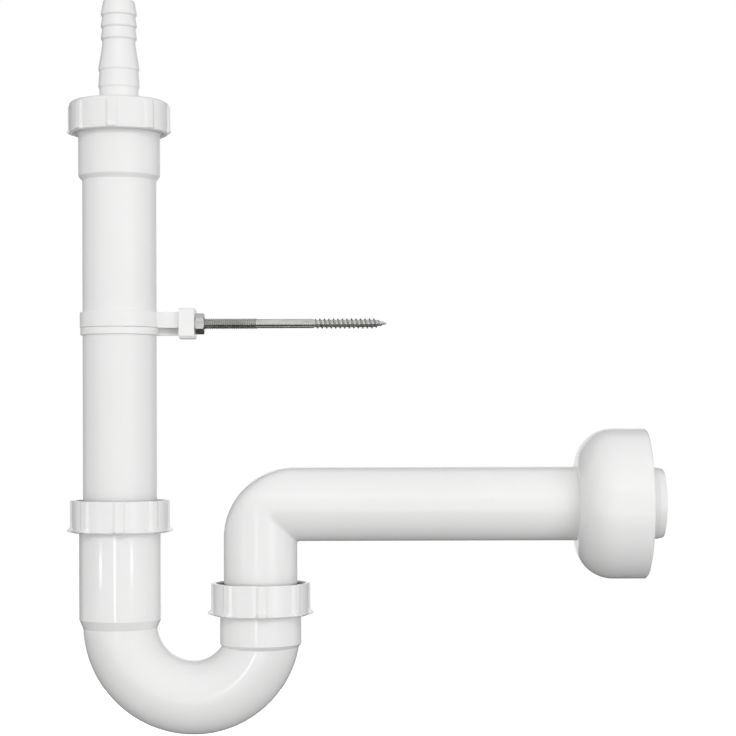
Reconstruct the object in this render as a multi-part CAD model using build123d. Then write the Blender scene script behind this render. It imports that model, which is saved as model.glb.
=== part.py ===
from build123d import *

import os
from math import cos, pi, sin, sqrt

# Washing machine trap: a barbed hose nozzle on a sliding inlet tube, a U-bend that holds the water
# seal, and an outlet elbow whose pipe enters the wall behind a domed rosette. A pipe clip on a hanger
# bolt steadies the inlet tube.
# Millimetres. +X goes into the wall, +Z is up, and the origin lies on the outlet pipe's axis in the
# plane of the wall.

# Tubes
TUBE_OD = 40.0
TUBE_WALL = 1.9
LEG_SPACING = 76.3
OUTLET_REACH = 209.0

# Clearances, radial unless named otherwise
SLIDE_FIT = 0.08
SOCKET_PLAY = 0.3
THREAD_PLAY = 0.3
SEAT_PLAY = 0.15
SCREW_PLAY = 0.1

# Compression sockets: the thread stands on a core a little larger than the socket's body
SOCKET_WALL = 1.8
THREAD_CORE_STEP = 0.4
THREAD_HEIGHT = 1.3
THREAD_LENGTH = 12.5
SEAT_DEPTH = 5.0
SEAT_WIDTH = 1.3
SHOULDER = 2.0

# U-bend, from the outlet pipe's axis down to the outlet rim and the bend, then up to the inlet socket.
# Its two quarters have radii of their own, and it runs a little wide of the outlet leg
OUTLET_LEG = 47.1
OUTLET_RISE = 20.1
OUTLET_SOCKET_DEPTH = 28.4
OUTLET_CONE = 4.5
OUTLET_BEND_R = 37.6
BEND_SET = 1.5
INLET_CONE = 4.9
INLET_CONE_DROP = 2.4
INLET_SOCKET_DEPTH = 60.0
CONE_SINK = 0.6

# Union nuts with grip panels between ribs that end in flared feet
NUT_WALL = 2.8
NUT_LIP = 2.0
NUT_CAP = 2.5
NUT_OVERHANG = 0.5
NUT_EDGE = 1.2
NUT_MOUTH_RIM = 0.6
NUT_MOUTH_DEPTH = 3.0
LIP_UNDERCUT = 1.2
LIP_HEIGHT = 3.2
RIB_COUNT = 8
RIB_WIDTH = 5.4
PANEL_DEPTH = 0.9
PANEL_MARGIN = 3.2
PANEL_CORNER = 4.0
INLET_NUT_TURN = -11.5
OUTLET_NUT_TURN = 0.0

# Wedge seals, with a lip that shows in the nut's mouth
SEAL_FLANGE = 2.0
SEAL_LIP = 2.4
SEAL_LIP_DROP = 0.4

# Inlet tube
INLET_TUBE_LENGTH = 243.6
INLET_TRAVEL = 30.0
BELL_LENGTH = 35.4
BELL_CONE = 2.4

# Hose nozzle, its gasket and its nut
GASKET_THICKNESS = 1.5
NOZZLE_FLANGE = 1.6
NOZZLE_COLLAR = 5.0
NOZZLE_BORE = 13.6
NECK_OD = 21.0
NECK_LENGTH = 9.1
LOWER_BARB_OD = 22.4
LOWER_ROOT_OD = 21.2
LOWER_BARB_COUNT = 2
LOWER_BARB_PITCH = 9.4
UPPER_BARB_OD = 19.7
UPPER_ROOT_OD = 18.0
UPPER_BARB_COUNT = 3
UPPER_BARB_PITCH = 6.5
BARB_FACE = 0.9
STEP_CONE = 13.5
STEP_LAND = 2.4
TIP_OD = 17.0
TIP_LENGTH = 7.8
TIP_CHAMFER = 0.9
NOZZLE_NUT_WALL = 3.6
NOZZLE_NUT_LIP = 0.5
NOZZLE_NUT_CAP = 2.0
NOZZLE_NUT_EDGE = 4.0
NOZZLE_NUT_HOLE_PLAY = 0.8
NOZZLE_NUT_TURN = -7.5

# Outlet elbow
HEEL_BEND = 18.4
HEEL_EASE = 1.0
ELBOW_END_PLAY = 4.5
SPIGOT_STEP = 0.6
SPIGOT_LENGTH = 33.5
SPIGOT_PROUD = 9.5
SPIGOT_TAPER = 3.5
SPIGOT_TAPER_DROP = 0.9

# Wall rosette
ROSETTE_OD = 81.6
ROSETTE_DEPTH = 38.0
ROSETTE_WALL = 2.0
ROSETTE_FLAT = 0.7
ROSETTE_COLLAR_WALL = 1.9
ROSETTE_COLLAR_LENGTH = 10.0
ROSETTE_RIM_ROUND = 0.8

# Pipe clip
CLIP_Z = 98.1
BAND_HEIGHT = 12.5
BAND_THICKNESS = 1.4
BAND_EDGE = 0.5
BAND_STEP_HEIGHT = 4.0
BAND_STEP = 0.3
LUG_GAP = 1.6
LUG_THICKNESS = 4.0
LUG_LENGTH = 14.5
LUG_HOOK = 1.2
LUG_HOOK_LENGTH = 2.0
LUG_GRIP = 3.3
COLLAR_WALL = 2.0
COLLAR_FLOOR = 1.8
COLLAR_WEB = 0.8
COLLAR_CHAMFER = 1.4
COLLAR_PLAY = 0.15

# Hanger bolt and its nuts
BOLT_OD = 5.9
BOLT_LENGTH = 107.9
BOLT_THREAD = 37.3
SHANK_OD = 5.0
SHANK_LENGTH = 31.5
WOOD_THREAD_OD = 5.8
WOOD_TIP = 5.0
WOOD_TIP_OD = 0.8
BOLT_END_CHAMFER = 0.6
NUT_FLATS = 10.0
LOCK_NUT_THICKNESS = 5.0
CAPTIVE_NUT_THICKNESS = 4.2
NUT_CORNER_DROP = 0.75

# Places worked out from the sizes above
TUBE_R = TUBE_OD / 2
BORE_R = TUBE_R - TUBE_WALL
OUTLET_X = -OUTLET_REACH
INLET_X = OUTLET_X - LEG_SPACING
INLET_BEND_R = LEG_SPACING + BEND_SET - OUTLET_BEND_R
SOCKET_BORE_R = TUBE_R + SOCKET_PLAY
SOCKET_R = SOCKET_BORE_R + SOCKET_WALL
THREAD_CORE_R = SOCKET_R + THREAD_CORE_STEP
NUT_BORE_R = THREAD_CORE_R + THREAD_HEIGHT + THREAD_PLAY
SEAT_R = SOCKET_BORE_R + SEAT_WIDTH
SEAL_BORE_R = TUBE_R + SLIDE_FIT
SEAL_LIP_R = SEAL_BORE_R + SEAL_LIP
OUTLET_RIM_Z = -OUTLET_LEG
OUTLET_BEND_Z = OUTLET_RIM_Z - OUTLET_RISE
BEND_LOW_Z = OUTLET_BEND_Z - OUTLET_BEND_R
INLET_BEND_Z = BEND_LOW_Z + INLET_BEND_R
INLET_CONE_Z = INLET_BEND_Z - INLET_CONE_DROP
INLET_RIM_Z = INLET_CONE_Z + INLET_CONE + INLET_SOCKET_DEPTH
INLET_TUBE_END_Z = INLET_RIM_Z - INLET_SOCKET_DEPTH + SHOULDER + INLET_TRAVEL
BELL_RIM_Z = INLET_TUBE_END_Z + INLET_TUBE_LENGTH
NOZZLE_FLANGE_Z = BELL_RIM_Z + GASKET_THICKNESS
NOZZLE_SEAT_Z = NOZZLE_FLANGE_Z + NOZZLE_FLANGE
ELBOW_END_Z = OUTLET_RIM_Z - OUTLET_SOCKET_DEPTH + SHOULDER + ELBOW_END_PLAY
BAND_R = TUBE_R + SLIDE_FIT + BAND_THICKNESS
LUG_REACH = BAND_R + LUG_LENGTH
COLLAR_START = LUG_REACH - LUG_GRIP
BOLT_START = LUG_REACH + COLLAR_PLAY + COLLAR_WEB
COLLAR_END = BOLT_START + CAPTIVE_NUT_THICKNESS
BOLT_R = BOLT_OD / 2


def turned(points, radii=0.0):
    """Solid of revolution about Z from a closed (radius, height) outline with rounded corners."""
    outline = FilletPolyline(*points, radius=radii, close=True)
    return revolve(Plane.XZ * make_face(outline), Axis.Z)


def plain_turned(points):
    """Solid of revolution about Z from a closed (radius, height) outline with sharp corners."""
    return revolve(Plane.XZ * make_face(Polyline(*points, close=True)), Axis.Z)


def disc(radius, bottom, top):
    """Upright cylinder about Z between two heights."""
    return extrude(Pos(0, 0, bottom) * Circle(radius), top - bottom)


# Compression sockets, seals and union nuts


def socket_outside(rim_z, depth, foot):
    """Outside of a socket, from the outline of its foot up: cone, plain body and threaded neck."""
    thread_end = rim_z - THREAD_LENGTH
    neck = [
        (SOCKET_R, rim_z - depth),
        (SOCKET_R, thread_end),
        (THREAD_CORE_R, thread_end),
        (THREAD_CORE_R, rim_z),
        (0, rim_z),
    ]
    return plain_turned(foot + neck)


def tube_foot(end_z, cone_z):
    """Outline of a plain tube from its end up to the foot of a socket's cone."""
    return [(0, end_z), (TUBE_R, end_z), (TUBE_R, cone_z)]


def socket_bore(rim_z, depth):
    """Inside of a socket: the tube's clearance bore with a conical seat at the rim."""
    return plain_turned(
        [
            (0, rim_z - depth),
            (SOCKET_BORE_R, rim_z - depth),
            (SOCKET_BORE_R, rim_z - SEAT_DEPTH),
            (SEAT_R, rim_z),
            (0, rim_z),
        ]
    )


def wedge_seal(rim_z):
    """Rubber ring: a wedge in the socket's seat, a flange that the nut presses, a lip in its mouth."""
    wedge_top = SEAT_R - SEAT_PLAY
    wedge_drop = SEAT_DEPTH * (wedge_top - SEAL_BORE_R) / SEAT_WIDTH
    flange_r = NUT_BORE_R - THREAD_PLAY
    flange_z = rim_z + SEAL_FLANGE
    lip_z = flange_z + NUT_CAP - SEAL_LIP_DROP
    return plain_turned(
        [
            (SEAL_BORE_R, rim_z - wedge_drop),
            (wedge_top, rim_z),
            (flange_r, rim_z),
            (flange_r, flange_z),
            (SEAL_LIP_R, flange_z),
            (SEAL_LIP_R, lip_z),
            (SEAL_BORE_R, lip_z),
        ]
    )


def grip_panels(outer, bottom, top, turn):
    """Cutters for the shallow panels between a nut's ribs, one rib turned this far from the front."""
    panel_arc = 2 * pi * outer / RIB_COUNT - RIB_WIDTH
    chord = 2 * outer * sin(panel_arc / outer / 2)
    window = Rectangle(chord, top - bottom)
    corners = window.vertices().group_by(Axis.Y)[-1]
    window = fillet(corners, PANEL_CORNER)
    cutter = Pos(0, 0, (top + bottom) / 2) * extrude(Plane.YZ * window, outer * 2)
    cutter -= disc(outer - PANEL_DEPTH, bottom - PANEL_DEPTH, top + PANEL_DEPTH)
    pitch = 360 / RIB_COUNT
    return [Rot(0, 0, turn - 90 + (index + 0.5) * pitch) * cutter for index in range(RIB_COUNT)]


def union_nut(wall, lip, skirt, cap, edge, hole_r, panel_top, turn):
    """Union nut about Z with its cap's underside at height 0: skirt, ribs on flared feet and panels."""
    outer = NUT_BORE_R + wall
    foot_r = outer - LIP_UNDERCUT
    body = turned(
        [
            (NUT_BORE_R, NUT_MOUTH_DEPTH - skirt),
            (foot_r - NUT_MOUTH_RIM, -skirt),
            (foot_r, -skirt),
            (outer + lip, LIP_UNDERCUT - skirt),
            (outer, LIP_HEIGHT - skirt),
            (outer, cap),
            (hole_r, cap),
            (hole_r, 0),
            (NUT_BORE_R, 0),
        ],
        [0, 0, 0, 0, 0, edge, 0, 0, 0],
    )
    return body - grip_panels(outer, -skirt - LIP_UNDERCUT, panel_top, turn)


# U-bend


def bend_core(radius):
    """Two quarter rings that meet at the lowest point and join the inlet leg to the outlet leg."""
    low_x = INLET_X + INLET_BEND_R
    section = Pos(low_x, 0, BEND_LOW_Z) * (Plane.YZ * Circle(radius))
    inlet_centre = Axis((low_x, 0, INLET_BEND_Z), (0, 1, 0))
    outlet_centre = Axis((low_x, 0, OUTLET_BEND_Z), (0, -1, 0))
    return revolve(section, inlet_centre, 90) + revolve(section, outlet_centre, 90)


def trap_bend():
    """U-bend with a long inlet socket and a short outlet socket that steps onto the bend."""
    inlet = Pos(INLET_X, 0, 0)
    outlet = Pos(OUTLET_X, 0, 0)
    inlet_foot_z = INLET_CONE_Z - INLET_CONE * CONE_SINK / (SOCKET_R - TUBE_R)
    inlet_foot = [(0, inlet_foot_z), (TUBE_R - CONE_SINK, inlet_foot_z)]
    outlet_foot_z = OUTLET_RIM_Z - OUTLET_SOCKET_DEPTH - OUTLET_CONE
    outlet_foot = [(0, outlet_foot_z), (BORE_R, outlet_foot_z)]
    body = bend_core(TUBE_R)
    body += inlet * socket_outside(INLET_RIM_Z, INLET_SOCKET_DEPTH, inlet_foot)
    body += outlet * socket_outside(OUTLET_RIM_Z, OUTLET_SOCKET_DEPTH, outlet_foot)
    body -= bend_core(BORE_R)
    body -= inlet * disc(BORE_R, INLET_BEND_Z, INLET_RIM_Z)
    body -= outlet * disc(BORE_R, OUTLET_BEND_Z, OUTLET_RIM_Z)
    body -= inlet * socket_bore(INLET_RIM_Z, INLET_SOCKET_DEPTH - SHOULDER)
    body -= outlet * socket_bore(OUTLET_RIM_Z, OUTLET_SOCKET_DEPTH - SHOULDER)
    return body


# Inlet tube, hose nozzle and its gasket


def inlet_tube():
    """Plain tube with a threaded bell at its top."""
    foot = tube_foot(INLET_TUBE_END_Z, BELL_RIM_Z - BELL_LENGTH - BELL_CONE)
    body = socket_outside(BELL_RIM_Z, BELL_LENGTH, foot)
    body -= disc(BORE_R, INLET_TUBE_END_Z, BELL_RIM_Z)
    body -= disc(SOCKET_BORE_R, BELL_RIM_Z - BELL_LENGTH + SHOULDER, BELL_RIM_Z)
    return body


def nozzle_gasket():
    """Flat ring between the bell's rim and the nozzle's flange."""
    outside = disc(THREAD_CORE_R, BELL_RIM_Z, NOZZLE_FLANGE_Z)
    return outside - disc(SOCKET_BORE_R, BELL_RIM_Z, NOZZLE_FLANGE_Z)


def barbs(bottom, count, pitch, root_od, barb_od):
    """Outline of hose barbs going up: a steep face below each barb and a long slope above it."""
    points = []
    for index in range(count):
        foot = bottom + index * pitch
        points.append((root_od / 2, foot))
        points.append((barb_od / 2, foot + BARB_FACE))
    return points


def hose_nozzle():
    """Stepped hose tail with two sizes of barb, a flange under the nut and a collar in the bell."""
    neck_end = NOZZLE_SEAT_Z + NECK_LENGTH
    step_z = neck_end + (LOWER_BARB_COUNT - 1) * LOWER_BARB_PITCH + BARB_FACE + STEP_CONE
    land_end = step_z + STEP_LAND
    top_z = land_end + (UPPER_BARB_COUNT - 1) * UPPER_BARB_PITCH + BARB_FACE + TIP_LENGTH
    bore_r = NOZZLE_BORE / 2
    tip_r = TIP_OD / 2
    tail = [
        (NECK_OD / 2, NOZZLE_SEAT_Z),
        *barbs(neck_end, LOWER_BARB_COUNT, LOWER_BARB_PITCH, LOWER_ROOT_OD, LOWER_BARB_OD),
        (UPPER_ROOT_OD / 2, step_z),
        *barbs(land_end, UPPER_BARB_COUNT, UPPER_BARB_PITCH, UPPER_ROOT_OD, UPPER_BARB_OD),
        (tip_r, top_z - TIP_CHAMFER),
        (tip_r - TIP_CHAMFER, top_z),
        (bore_r, top_z),
    ]
    collar_r = SOCKET_BORE_R - SOCKET_PLAY
    collar_end = BELL_RIM_Z - NOZZLE_COLLAR
    foot = [
        (bore_r, NOZZLE_FLANGE_Z),
        (collar_r - TUBE_WALL, NOZZLE_FLANGE_Z),
        (collar_r - TUBE_WALL, collar_end),
        (collar_r, collar_end),
        (collar_r, NOZZLE_FLANGE_Z),
        (THREAD_CORE_R, NOZZLE_FLANGE_Z),
        (THREAD_CORE_R, NOZZLE_SEAT_Z),
    ]
    return plain_turned(tail + foot)


# Outlet elbow and rosette


def mitred_pipe(radius, leg_end_z, pipe_end_x):
    """Leg and pipe meeting in a sharp inner corner with a rounded heel, the corner at the origin."""
    mitre = Plane(origin=(0, 0, 0), z_dir=(1, 0, 1))
    reach = radius * 2
    leg = split(disc(radius, leg_end_z, reach), bisect_by=mitre, keep=Keep.BOTTOM)
    run = Rot(0, 90, 0) * disc(radius, -reach, pipe_end_x)
    body = leg + split(run, bisect_by=mitre, keep=Keep.TOP)
    # The heel is trimmed by a ring a little fatter than the pipe, so that the trim runs out to nothing
    # at the sides and leaves the inner corner sharp
    ring_r = radius + HEEL_EASE
    ring_centre = HEEL_BEND - HEEL_EASE
    ring_section = Pos(ring_centre, 0) * Circle(ring_r)
    ring_section += Rectangle(ring_centre, ring_r * 2, align=(Align.MIN, Align.CENTER))
    ring_section = split(ring_section, bisect_by=Plane.YZ, keep=Keep.TOP)
    ring = revolve(ring_section, Axis.Y)
    side = HEEL_BEND + reach
    corner = Box(side, ring_r * 2, side, align=(Align.MAX, Align.CENTER, Align.MIN))
    return body - Pos(HEEL_BEND, 0, -HEEL_BEND) * (corner - ring)


def outlet_elbow():
    """Long outlet elbow: a leg in the outlet socket, a rounded heel and a pipe ending in a spigot."""
    run = OUTLET_REACH + SPIGOT_PROUD
    outside = mitred_pipe(TUBE_R, ELBOW_END_Z, run)
    inside = mitred_pipe(BORE_R, ELBOW_END_Z, run)
    spigot_r = TUBE_R - SPIGOT_STEP
    trim_r = TUBE_R + SPIGOT_STEP
    trim = plain_turned(
        [
            (trim_r, run - SPIGOT_LENGTH - 2 * SPIGOT_STEP),
            (spigot_r, run - SPIGOT_LENGTH),
            (spigot_r, run - SPIGOT_TAPER),
            (spigot_r - SPIGOT_TAPER_DROP, run),
            (trim_r, run),
        ]
    )
    return Pos(OUTLET_X, 0, 0) * (outside - inside - Rot(0, 90, 0) * trim)


def rosette():
    """Domed wall rosette: a thin shell that is open at the wall, with a guide collar on the pipe."""
    hole_r = TUBE_R + SLIDE_FIT
    rim_r = ROSETTE_OD / 2
    dome_r = rim_r - hole_r - ROSETTE_FLAT
    dome_x = dome_r - ROSETTE_DEPTH
    inner_r = dome_r - ROSETTE_WALL
    centre_r = hole_r + ROSETTE_FLAT
    collar_r = hole_r + ROSETTE_COLLAR_WALL
    collar_x = dome_x - sqrt(inner_r**2 - (collar_r - centre_r) ** 2)
    collar_end = ROSETTE_COLLAR_LENGTH - ROSETTE_DEPTH
    slope = cos(pi / 4)
    outer_dome = ThreePointArc(
        (centre_r, -ROSETTE_DEPTH),
        (centre_r + dome_r * slope, dome_x - dome_r * slope),
        (rim_r, dome_x),
    )
    inner_dome = ThreePointArc(
        (rim_r - ROSETTE_WALL, dome_x),
        (centre_r + inner_r * slope, dome_x - inner_r * slope),
        (collar_r, collar_x),
    )
    rim = Polyline(
        (rim_r, dome_x),
        (rim_r, -ROSETTE_RIM_ROUND),
        (rim_r - ROSETTE_RIM_ROUND, 0),
        (rim_r - ROSETTE_WALL, 0),
        (rim_r - ROSETTE_WALL, dome_x),
    )
    collar = Polyline(
        (collar_r, collar_x),
        (collar_r, collar_end),
        (hole_r, collar_end),
        (hole_r, -ROSETTE_DEPTH),
        (centre_r, -ROSETTE_DEPTH),
    )
    profile = make_face(outer_dome + rim + inner_dome + collar)
    return Rot(0, 90, 0) * revolve(Plane.XZ * profile, Axis.Z)


# Pipe clip, hanger bolt and nuts


def on_clip(solid):
    """Places a piece of the clip, modelled with the tube's axis and the bolt's height at the origin."""
    return Pos(INLET_X, 0, CLIP_Z) * solid


def band_ring(outer, bottom, top):
    """Ring of the clip with rounded outer edges."""
    inner = TUBE_R + SLIDE_FIT
    outline = [(inner, bottom), (outer, bottom), (outer, top), (inner, top)]
    return turned(outline, [0, BAND_EDGE, BAND_EDGE, 0])


def clip_band():
    """Split band round the tube with two hooked lugs; the front lug stops short of the lower bead."""
    bottom = -BAND_HEIGHT / 2
    top = BAND_HEIGHT / 2
    step_z = bottom + BAND_STEP_HEIGHT
    band = band_ring(BAND_R, step_z, top) + band_ring(BAND_R - BAND_STEP, bottom, step_z)
    lug_y = LUG_GAP / 2 + LUG_THICKNESS
    lug = Box(LUG_REACH, LUG_THICKNESS, BAND_HEIGHT, align=(Align.MIN, Align.MIN, Align.CENTER))
    hook = Box(LUG_HOOK_LENGTH, LUG_HOOK, BAND_HEIGHT, align=(Align.MAX, Align.MIN, Align.CENTER))
    back_lug = Pos(0, LUG_GAP / 2, 0) * lug + Pos(LUG_REACH, lug_y, 0) * hook
    below_step = Pos(0, 0, step_z) * Box(
        LUG_REACH * 2, LUG_REACH, BAND_HEIGHT, align=(Align.CENTER, Align.CENTER, Align.MAX)
    )
    front_lug = mirror(back_lug, Plane.XZ) - below_step
    split_gap = Box(LUG_REACH * 2, LUG_GAP, BAND_HEIGHT, align=(Align.MIN, Align.CENTER, Align.CENTER))
    bore = disc(TUBE_R + SLIDE_FIT, bottom, top)
    return on_clip(band + back_lug + front_lug - split_gap - bore)


def hexagon(thickness, start):
    """Hexagonal prism along X with its corners up and down, from this distance off the tube's axis."""
    flat = RegularPolygon(NUT_FLATS / 2, 6, major_radius=False)
    return Pos(start, 0, 0) * extrude(Plane.YZ * (Rot(0, 0, 30) * flat), thickness)


def clip_collar():
    """Block that slides up over the hooked lugs, open at the top, and holds the captive nut."""
    floor_z = -BAND_HEIGHT / 2 - COLLAR_PLAY
    half_height = COLLAR_FLOOR - floor_z
    slot_height = half_height - floor_z
    neck_width = LUG_GAP + 2 * (LUG_THICKNESS + COLLAR_PLAY)
    pocket_width = neck_width + 2 * LUG_HOOK
    pocket_start = LUG_REACH - LUG_HOOK_LENGTH - COLLAR_PLAY
    slot_end = LUG_REACH + COLLAR_PLAY
    seat = (Align.MIN, Align.CENTER, Align.MIN)
    length = COLLAR_END - COLLAR_START
    width = pocket_width + 2 * COLLAR_WALL
    block = Pos(COLLAR_START, 0, -half_height) * Box(length, width, 2 * half_height, align=seat)
    block = chamfer(block.edges().filter_by(Axis.X), COLLAR_CHAMFER)
    neck = Box(slot_end - COLLAR_START, neck_width, slot_height, align=seat)
    pocket = Box(slot_end - pocket_start, pocket_width, slot_height, align=seat)
    block -= Pos(COLLAR_START, 0, floor_z) * neck
    block -= Pos(pocket_start, 0, floor_z) * pocket
    return on_clip(block - hexagon(CAPTIVE_NUT_THICKNESS, BOLT_START))


def hex_nut(thickness, start):
    """Hexagon nut with chamfered corners and a clearance hole for the bolt."""
    corner_r = NUT_FLATS / sqrt(3)
    drop_r = corner_r - NUT_CORNER_DROP
    drop = NUT_CORNER_DROP / sqrt(3)
    barrel = plain_turned(
        [
            (BOLT_R + SCREW_PLAY, 0),
            (drop_r, 0),
            (corner_r, drop),
            (corner_r, thickness - drop),
            (drop_r, thickness),
            (BOLT_R + SCREW_PLAY, thickness),
        ]
    )
    return on_clip(hexagon(thickness, start) & Pos(start, 0, 0) * Rot(0, 90, 0) * barrel)


def captive_nut():
    """Plain hexagon insert pressed into the collar, flush with its end."""
    bore = Rot(0, 90, 0) * disc(BOLT_R + SCREW_PLAY, BOLT_START, COLLAR_END)
    return on_clip(hexagon(CAPTIVE_NUT_THICKNESS, BOLT_START) - bore)


def hanger_bolt():
    """Hanger bolt: machine-threaded end, plain shank and pointed wood-threaded end."""
    shank_start = BOLT_THREAD
    wood_start = shank_start + SHANK_LENGTH
    wood_r = WOOD_THREAD_OD / 2
    bolt = plain_turned(
        [
            (0, 0),
            (BOLT_R - BOLT_END_CHAMFER, 0),
            (BOLT_R, BOLT_END_CHAMFER),
            (BOLT_R, shank_start),
            (SHANK_OD / 2, shank_start),
            (SHANK_OD / 2, wood_start),
            (wood_r, wood_start),
            (wood_r, BOLT_LENGTH - WOOD_TIP),
            (WOOD_TIP_OD / 2, BOLT_LENGTH),
            (0, BOLT_LENGTH),
        ]
    )
    return on_clip(Pos(BOLT_START, 0, 0) * Rot(0, 90, 0) * bolt)


# Assembly


def lower_nut(turn):
    """Union nut of a compression socket."""
    skirt = THREAD_LENGTH + NUT_OVERHANG + SEAL_FLANGE
    hole_r = SEAL_LIP_R + SEAT_PLAY
    panel_top = NUT_CAP - PANEL_MARGIN
    return union_nut(NUT_WALL, NUT_LIP, skirt, NUT_CAP, NUT_EDGE, hole_r, panel_top, turn)


def nozzle_nut():
    """Union nut of the hose nozzle, larger, with panels that run out over its rounded top edge."""
    stack = GASKET_THICKNESS + NOZZLE_FLANGE
    hole_r = LOWER_BARB_OD / 2 + NOZZLE_NUT_HOLE_PLAY
    return union_nut(
        NOZZLE_NUT_WALL,
        NOZZLE_NUT_LIP,
        THREAD_LENGTH + stack,
        NOZZLE_NUT_CAP,
        NOZZLE_NUT_EDGE,
        hole_r,
        NOZZLE_NUT_CAP + PANEL_CORNER,
        NOZZLE_NUT_TURN,
    )


def assembly():
    """Every piece of the trap by name, in place."""
    on_inlet = Pos(INLET_X, 0, 0)
    on_outlet = Pos(OUTLET_X, 0, 0)
    return {
        "outlet_elbow": outlet_elbow(),
        "rosette": rosette(),
        "trap_bend": trap_bend(),
        "outlet_seal": on_outlet * wedge_seal(OUTLET_RIM_Z),
        "outlet_nut": Pos(0, 0, OUTLET_RIM_Z + SEAL_FLANGE) * on_outlet * lower_nut(OUTLET_NUT_TURN),
        "inlet_seal": on_inlet * wedge_seal(INLET_RIM_Z),
        "inlet_nut": Pos(0, 0, INLET_RIM_Z + SEAL_FLANGE) * on_inlet * lower_nut(INLET_NUT_TURN),
        "inlet_tube": on_inlet * inlet_tube(),
        "nozzle_gasket": on_inlet * nozzle_gasket(),
        "hose_nozzle": on_inlet * hose_nozzle(),
        "nozzle_nut": Pos(0, 0, NOZZLE_SEAT_Z) * on_inlet * nozzle_nut(),
        "clip_band": clip_band(),
        "clip_collar": clip_collar(),
        "captive_nut": captive_nut(),
        "lock_nut": hex_nut(LOCK_NUT_THICKNESS, COLLAR_END),
        "hanger_bolt": hanger_bolt(),
    }


os.makedirs("parts", exist_ok=True)
for name, solid in assembly().items():
    export_step(solid, f"parts/{name}.step")
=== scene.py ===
"""Looks of a washing machine trap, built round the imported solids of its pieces.

Turned and threaded pieces are modelled here in millimetres about their own axes, and the frame gives
the place of each. Pieces whose solids already have their form keep them and get their finish.
"""

import logging
from collections.abc import Callable, Sequence
from dataclasses import dataclass, replace
from enum import Enum
from math import atan2, ceil, cos, hypot, pi, radians, sin

import bmesh
import bpy
from bmesh.types import BMEdge, BMesh
from mathutils import Matrix, Vector


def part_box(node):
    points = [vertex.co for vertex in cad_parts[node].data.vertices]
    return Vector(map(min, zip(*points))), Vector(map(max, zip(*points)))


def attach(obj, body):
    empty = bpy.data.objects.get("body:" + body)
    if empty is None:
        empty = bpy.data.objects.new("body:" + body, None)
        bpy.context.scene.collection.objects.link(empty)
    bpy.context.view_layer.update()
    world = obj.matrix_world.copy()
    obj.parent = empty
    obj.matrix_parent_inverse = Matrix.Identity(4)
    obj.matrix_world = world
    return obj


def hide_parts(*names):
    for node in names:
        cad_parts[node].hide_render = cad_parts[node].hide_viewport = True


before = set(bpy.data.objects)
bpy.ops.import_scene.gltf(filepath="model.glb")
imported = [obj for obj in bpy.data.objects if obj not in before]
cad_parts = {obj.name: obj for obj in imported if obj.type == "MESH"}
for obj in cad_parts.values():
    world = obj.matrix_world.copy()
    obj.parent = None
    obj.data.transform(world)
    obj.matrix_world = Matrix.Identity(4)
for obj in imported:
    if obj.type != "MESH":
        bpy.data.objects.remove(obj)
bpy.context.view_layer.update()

Pair = tuple[float, float]
Point = tuple[float, float, float]
Colour = tuple[float, float, float]

LOG = logging.getLogger("trap")
FULL_TURN = 2 * pi
QUARTER_TURN = pi / 2
SHARP_ANGLE = radians(38)
FLAT_ANGLE = radians(0.5)

TURN_STEPS = 144
ROUND_SEGMENTS = 4

# Meshes are made in millimetres, and so are these lengths. MM is a millimetre in metres.
SEGMENT_LENGTH = 0.4
MERGE_GAP = 0.004
WALL_GAP = 0.02
MM = 0.001

# Most of a noise pattern's values lie between these.
NOISE_LOW = 0.3
NOISE_HIGH = 0.7

WHITE = (1.0, 1.0, 1.0, 1.0)

# Middle of the trap, which the lamps face, in metres.
MIDDLE = (-0.15, 0.0, 0.05)


class Body(Enum):
    """Bodies of the frame that the pieces ride on."""

    OUTLET = "outlet"
    TRAP = "trap"
    OUTLET_SEAL = "outlet_seal"
    OUTLET_NUT = "outlet_nut"
    INLET_SEAL = "inlet_seal"
    INLET_NUT = "inlet_nut"
    INLET = "inlet"
    NOZZLE = "nozzle"
    NOZZLE_NUT = "nozzle_nut"
    BOLT = "bolt"


class Finish(Enum):
    """Finishes of the pieces, with the material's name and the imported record's slot of each."""

    MOULDED = ("moulded_white", "white_moulding")
    POLISHED = ("polished_white", "white_moulding")
    TUBE = ("extruded_white", "white_tube")
    CLIP = ("clip_white", "clip_plastic")
    RUBBER = ("black_rubber", "seal_rubber")
    ZINC = ("zinc_plate", "zinc_steel")

    @property
    def label(self) -> str:
        """Name of the material."""
        return self.value[0]

    @property
    def slot(self) -> str:
        """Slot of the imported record."""
        return self.value[1]


class Direction(Enum):
    """Ways that the axis of a turned piece can point."""

    UP = (0.0, 0.0, 1.0)
    TO_WALL = (1.0, 0.0, 0.0)


# Finishes


class Graph:
    """Node graph of a material or of the surroundings."""

    def __init__(self, owner: bpy.types.ID) -> None:
        """Turns the owner's nodes on.

        Args:
            owner: Material or world that the graph belongs to.
        """
        owner.use_nodes = True
        self.tree = owner.node_tree

    def given(self, name: str) -> bpy.types.Node:
        """Finds a node that the graph has from its start."""
        return self.tree.nodes[name]

    def add(self, kind: str, **inputs: float | Sequence[float]) -> bpy.types.Node:
        """Adds a node.

        Args:
            kind: Blender's name of the node type.
            **inputs: Values for its input sockets, with _ for each space in a socket's name.

        Returns:
            The new node.
        """
        node = self.tree.nodes.new(kind)
        for socket, value in inputs.items():
            node.inputs[socket.replace("_", " ")].default_value = value
        return node

    def link(self, output: bpy.types.NodeSocket, node: bpy.types.Node, socket: str | int) -> None:
        """Joins an output to a node's input, by its name or its number."""
        self.tree.links.new(output, node.inputs[socket])


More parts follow.
